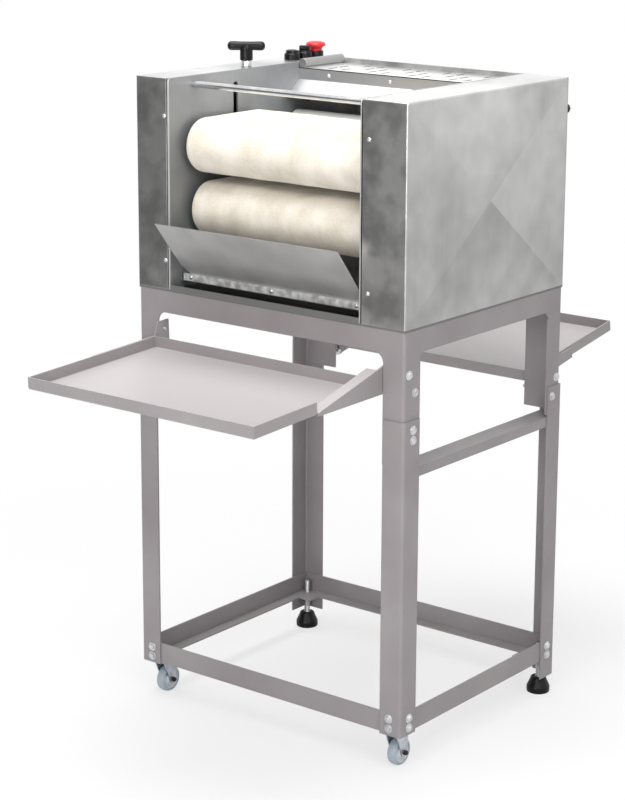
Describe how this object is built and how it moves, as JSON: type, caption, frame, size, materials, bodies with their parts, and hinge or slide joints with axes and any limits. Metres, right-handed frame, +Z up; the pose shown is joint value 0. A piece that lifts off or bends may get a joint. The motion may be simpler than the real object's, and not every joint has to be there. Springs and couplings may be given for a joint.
{
  "type": "dough moulder",
  "caption": "Bakery dough moulder: stainless housing with felt curling belts over an exit flap, on a grey steel stand with casters, levelling feet and front and back trays.",
  "frame": {"origin": "on the floor, under the middle of the housing and stand", "axes": "+Z up, -Y to the front where the dough comes out, +X to the right seen from the front"},
  "size_m": [0.614, 1.1373, 1.222],
  "materials": {
    "painted_steel": "warm grey stove enamel",
    "tray_steel": "light warm grey enamel",
    "stainless": "brushed stainless sheet",
    "bright_steel": "polished",
    "zinc": "zinc plated",
    "caster_rubber": "grey rubber tread",
    "black_plastic": "moulded black",
    "black_rubber": "moulded",
    "roller_alloy": "turned alloy tube",
    "felt": "wool felt",
    "nylon": "turned white nylon",
    "cast_grey": "painted casting",
    "red_plastic": "moulded red"
  },
  "bodies": {
    "stand": {"front_frame": "painted_steel", "back_frame": "painted_steel", "top_rail_left": "painted_steel", "top_rail_right": "painted_steel", "lower_leg_fl": "painted_steel", "lower_leg_fr": "painted_steel", "lower_leg_bl": "painted_steel", "lower_leg_br": "painted_steel", "mid_rail": "painted_steel", "base_rail_front": "painted_steel", "base_rail_back": "painted_steel", "base_rail_left": "painted_steel", "base_rail_right": "painted_steel", "corner_brackets": "painted_steel", "stand_bolts": "zinc", "base_plate": "stainless", "left_frame_plate": "stainless", "right_frame_plate": "stainless", "left_cover": "stainless", "right_cover": "stainless", "back_panel": "stainless", "rear_cover": "stainless", "front_rod": "bright_steel", "exit_flap": "stainless", "flap_bar": "cast_grey", "flap_strip": "stainless", "housing_screws": "zinc", "lower_belt": "felt", "scrapers": "stainless", "bearings": "zinc", "motor": "cast_grey", "v_belt": "black_rubber", "drive_chains": "zinc", "switch_bases": "black_plastic"},
    "caster_left": {"caster_fork_left": "zinc"},
    "wheel_left": {"caster_wheel_left": "caster_rubber"},
    "caster_right": {"caster_fork_right": "zinc"},
    "wheel_right": {"caster_wheel_right": "caster_rubber"},
    "foot_left": {"foot_left": "black_rubber"},
    "foot_right": {"foot_right": "black_rubber"},
    "front_tray": {"front_tray": "tray_steel", "front_tray_arms": "tray_steel"},
    "back_tray": {"back_tray": "tray_steel", "back_tray_arms": "tray_steel"},
    "upper_carriage": {"upper_arms": "zinc", "upper_belt": "felt", "lift_bracket": "zinc"},
    "upper_front_roller": {"upper_front_roller": "roller_alloy"},
    "upper_rear_roller": {"upper_rear_roller": "roller_alloy"},
    "lower_front_roller": {"lower_front_roller": "roller_alloy"},
    "lower_rear_roller": {"lower_rear_roller": "roller_alloy"},
    "sheet_front_roller": {"sheet_front_roller": "nylon"},
    "sheet_rear_roller": {"sheet_rear_roller": "nylon"},
    "gap_slide": {"gap_blocks": "zinc"},
    "gap_knob": {"gap_knob": "black_plastic"},
    "motor_rotor": {"motor_pulley": "zinc"},
    "lift_handle": {"handle_screw": "black_plastic"},
    "start_button": {"start_button": "black_plastic"},
    "selector": {"selector_knob": "black_plastic"},
    "stop_button": {"stop_button": "red_plastic"}
  },
  "joints": [
    {"name": "caster_left_swivel", "type": "hinge", "parent": "stand", "child": "caster_left", "pos_m": [-0.273, -0.218, 0.04], "axis": [0, 0, 1], "continuous": true},
    {"name": "wheel_left_roll", "type": "hinge", "parent": "caster_left", "child": "wheel_left", "pos_m": [-0.273, -0.21, 0.025], "axis": [1, 0, 0], "continuous": true},
    {"name": "foot_left_turn", "type": "hinge", "parent": "stand", "child": "foot_left", "pos_m": [-0.283, 0.228, 0.05], "axis": [0, 0, 1], "continuous": true},
    {"name": "caster_right_swivel", "type": "hinge", "parent": "stand", "child": "caster_right", "pos_m": [0.273, -0.218, 0.04], "axis": [0, 0, 1], "continuous": true},
    {"name": "wheel_right_roll", "type": "hinge", "parent": "caster_right", "child": "wheel_right", "pos_m": [0.273, -0.21, 0.025], "axis": [1, 0, 0], "continuous": true},
    {"name": "foot_right_turn", "type": "hinge", "parent": "stand", "child": "foot_right", "pos_m": [0.283, 0.228, 0.05], "axis": [0, 0, 1], "continuous": true},
    {"name": "front_tray_tilt", "type": "hinge", "parent": "stand", "child": "front_tray", "pos_m": [0, -0.232, 0.716], "axis": [-1, 0, 0], "range_deg": [0, 35]},
    {"name": "back_tray_tilt", "type": "hinge", "parent": "stand", "child": "back_tray", "pos_m": [0, 0.258, 0.622], "axis": [1, 0, 0], "range_deg": [0, 35]},
    {"name": "upper_belt_lift", "type": "slide", "parent": "stand", "child": "upper_carriage", "axis": [0, 0, 1], "range_m": [-0.006, 0.01]},
    {"name": "lift_handle_turn", "type": "hinge", "parent": "stand", "child": "lift_handle", "pos_m": [-0.246, -0.005, 1.175], "axis": [0, 0, 1], "range_deg": [-722, 1202]},
    {"name": "lower_rear_spin", "type": "hinge", "parent": "stand", "child": "lower_rear_roller", "pos_m": [0, 0.107, 0.935], "axis": [1, 0, 0], "continuous": true},
    {"name": "lower_front_spin", "type": "hinge", "parent": "stand", "child": "lower_front_roller", "pos_m": [0, -0.152, 0.935], "axis": [1, 0, 0], "continuous": true},
    {"name": "upper_rear_spin", "type": "hinge", "parent": "upper_carriage", "child": "upper_rear_roller", "pos_m": [0, -0.023, 1.051], "axis": [1, 0, 0], "continuous": true},
    {"name": "upper_front_spin", "type": "hinge", "parent": "upper_carriage", "child": "upper_front_roller", "pos_m": [0, -0.165, 1.051], "axis": [1, 0, 0], "continuous": true},
    {"name": "sheet_front_spin", "type": "hinge", "parent": "stand", "child": "sheet_front_roller", "pos_m": [0, 0.058, 1.06], "axis": [1, 0, 0], "continuous": true},
    {"name": "sheet_gap_slide", "type": "slide", "parent": "stand", "child": "gap_slide", "axis": [0, 1, 0], "range_m": [-0.002, 0.002]},
    {"name": "gap_knob_turn", "type": "hinge", "parent": "stand", "child": "gap_knob", "pos_m": [0.28, 0.245, 1.115], "axis": [0, 1, 0], "range_deg": [-722, 722]},
    {"name": "sheet_rear_spin", "type": "hinge", "parent": "gap_slide", "child": "sheet_rear_roller", "pos_m": [0, 0.117, 1.06], "axis": [1, 0, 0], "continuous": true},
    {"name": "motor_spin", "type": "hinge", "parent": "stand", "child": "motor_rotor", "pos_m": [0, 0.187, 0.858], "axis": [1, 0, 0], "continuous": true},
    {"name": "start_push", "type": "slide", "parent": "stand", "child": "start_button", "axis": [0, 0, -1], "range_m": [0, 0.003], "stiffness_N_per_m": 400},
    {"name": "selector_turn", "type": "hinge", "parent": "stand", "child": "selector", "pos_m": [-0.2625, 0.188, 1.175], "axis": [0, 0, 1], "range_deg": [-45, 45]},
    {"name": "stop_push", "type": "slide", "parent": "stand", "child": "stop_button", "axis": [0, 0, -1], "range_m": [0, 0.003], "stiffness_N_per_m": 500}
  ],
  "couplings": [
    {"joint": "lift_handle_turn", "follows": "upper_belt_lift", "rad_per_m": 2094.4},
    {"joint": "gap_knob_turn", "follows": "sheet_gap_slide", "rad_per_m": 6283.2},
    {"joint": "lower_front_spin", "follows": "lower_rear_spin", "ratio": 1},
    {"joint": "upper_rear_spin", "follows": "lower_rear_spin", "ratio": 1},
    {"joint": "upper_front_spin", "follows": "lower_rear_spin", "ratio": 1},
    {"joint": "sheet_front_spin", "follows": "lower_rear_spin", "ratio": -1},
    {"joint": "sheet_rear_spin", "follows": "lower_rear_spin", "ratio": 1},
    {"joint": "motor_spin", "follows": "lower_rear_spin", "ratio": 2.0714}
  ]
}
